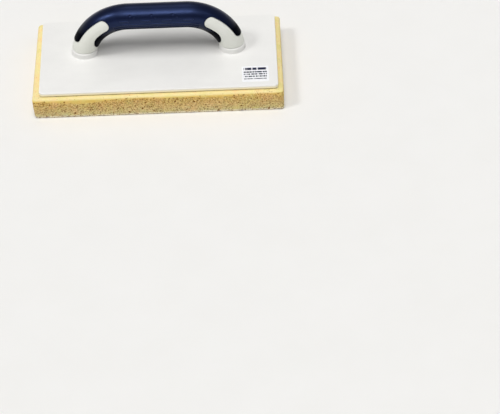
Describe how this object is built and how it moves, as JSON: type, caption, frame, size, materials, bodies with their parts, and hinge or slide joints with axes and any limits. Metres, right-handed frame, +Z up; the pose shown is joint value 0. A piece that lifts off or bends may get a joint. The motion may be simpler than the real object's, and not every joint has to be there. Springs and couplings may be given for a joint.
{
  "type": "grout float",
  "caption": "Sponge float for washing down tile grout: a foam block held by hook and loop on a hard board with a soft-grip bow handle.",
  "frame": {"origin": "centre of the sponge's sole, on the surface that the float stands on", "axes": "+X along the float and its handle, +Y towards its back, +Z up from the sole to the handle"},
  "size_m": [0.28, 0.14, 0.0944],
  "materials": {
    "sponge_foam": "matte open-cell foam",
    "loop_fleece": "matte napped fleece",
    "hook_tape": "matte woven tape with stiff hooks",
    "board_plastic": "satin moulded plastic",
    "handle_plastic": "satin moulded plastic",
    "grip_rubber": "satin soft-touch elastomer",
    "screw_steel": "zinc-plated",
    "label_paper": "satin coated paper"
  },
  "bodies": {
    "sponge_pad": {"sponge": "sponge_foam", "loop_fleece": "loop_fleece"},
    "board": {"hook_sheet": "hook_tape", "backing_plate": "board_plastic", "handle_core": "handle_plastic", "soft_grip": "grip_rubber", "handle_screw_left": "screw_steel", "handle_screw_right": "screw_steel", "label": "label_paper"}
  },
  "joints": [
    {"name": "board_lift", "type": "slide", "parent": "sponge_pad", "child": "board", "axis": [0, 0, 1], "range_m": [0, 0.07]}
  ]
}
